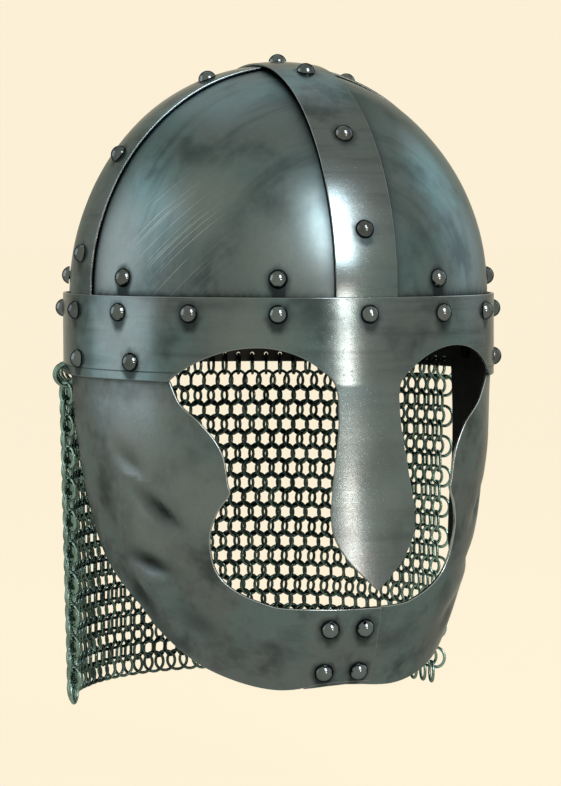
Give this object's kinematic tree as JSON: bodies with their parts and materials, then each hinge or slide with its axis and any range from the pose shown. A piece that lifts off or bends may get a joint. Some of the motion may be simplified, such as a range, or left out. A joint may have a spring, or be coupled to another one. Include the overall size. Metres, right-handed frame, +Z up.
{
  "type": "spangenhelm helmet",
  "caption": "Riveted plate helmet with crossed bands, a brow band with eye arches and nose guard, lapped cheek plates and a linked mail curtain at the back.",
  "frame": {"origin": "on the helmet's centre line, level with the lower edge of the brow band, where the wearer's head goes in", "axes": "the front faces -Y, the wearer's left is +X, up is +Z"},
  "size_m": [0.2144, 0.2421, 0.3161],
  "materials": {
    "skull_steel": "dark burnished steel with scratches and patina",
    "band_steel": "dark burnished steel with bright worn edges",
    "cheek_steel": "dark burnished steel with soft hammer hollows",
    "rivet_steel": "polished dark steel",
    "mail_steel": "dark oiled wire with green glints",
    "liner_leather": "dark vegetable-tanned leather",
    "lace_leather": "waxed leather thong"
  },
  "bodies": {
    "helmet": {"dome_plate_front_right": "skull_steel", "dome_plate_front_left": "skull_steel", "dome_plate_rear_right": "skull_steel", "dome_plate_rear_left": "skull_steel", "cross_band": "band_steel", "crest_band": "band_steel", "brow_band": "band_steel", "cheek_plate_right": "cheek_steel", "cheek_plate_left": "cheek_steel", "brow_rivets": "rivet_steel", "panel_rivets": "rivet_steel", "cross_band_rivets": "rivet_steel", "crest_band_rivets": "rivet_steel", "apex_rivet": "rivet_steel", "cheek_rivets_right": "rivet_steel", "cheek_rivets_left": "rivet_steel", "chin_rivets": "rivet_steel", "leather_liner": "liner_leather", "liner_lace": "lace_leather", "hanging_rings": "mail_steel", "mail_side_right": "mail_steel", "mail_quarter_right": "mail_steel", "mail_back_top": "mail_steel", "mail_quarter_left": "mail_steel", "mail_side_left": "mail_steel"},
    "mail_back_panel": {"mail_back": "mail_steel"}
  },
  "joints": [
    {"name": "mail_swing", "type": "hinge", "parent": "helmet", "child": "mail_back_panel", "pos_m": [0, 0.10871, -0.002], "axis": [1, 0, 0], "range_deg": [-5, 20], "deforming": ["mail_back_top", "mail_quarter_right", "mail_quarter_left"]}
  ]
}
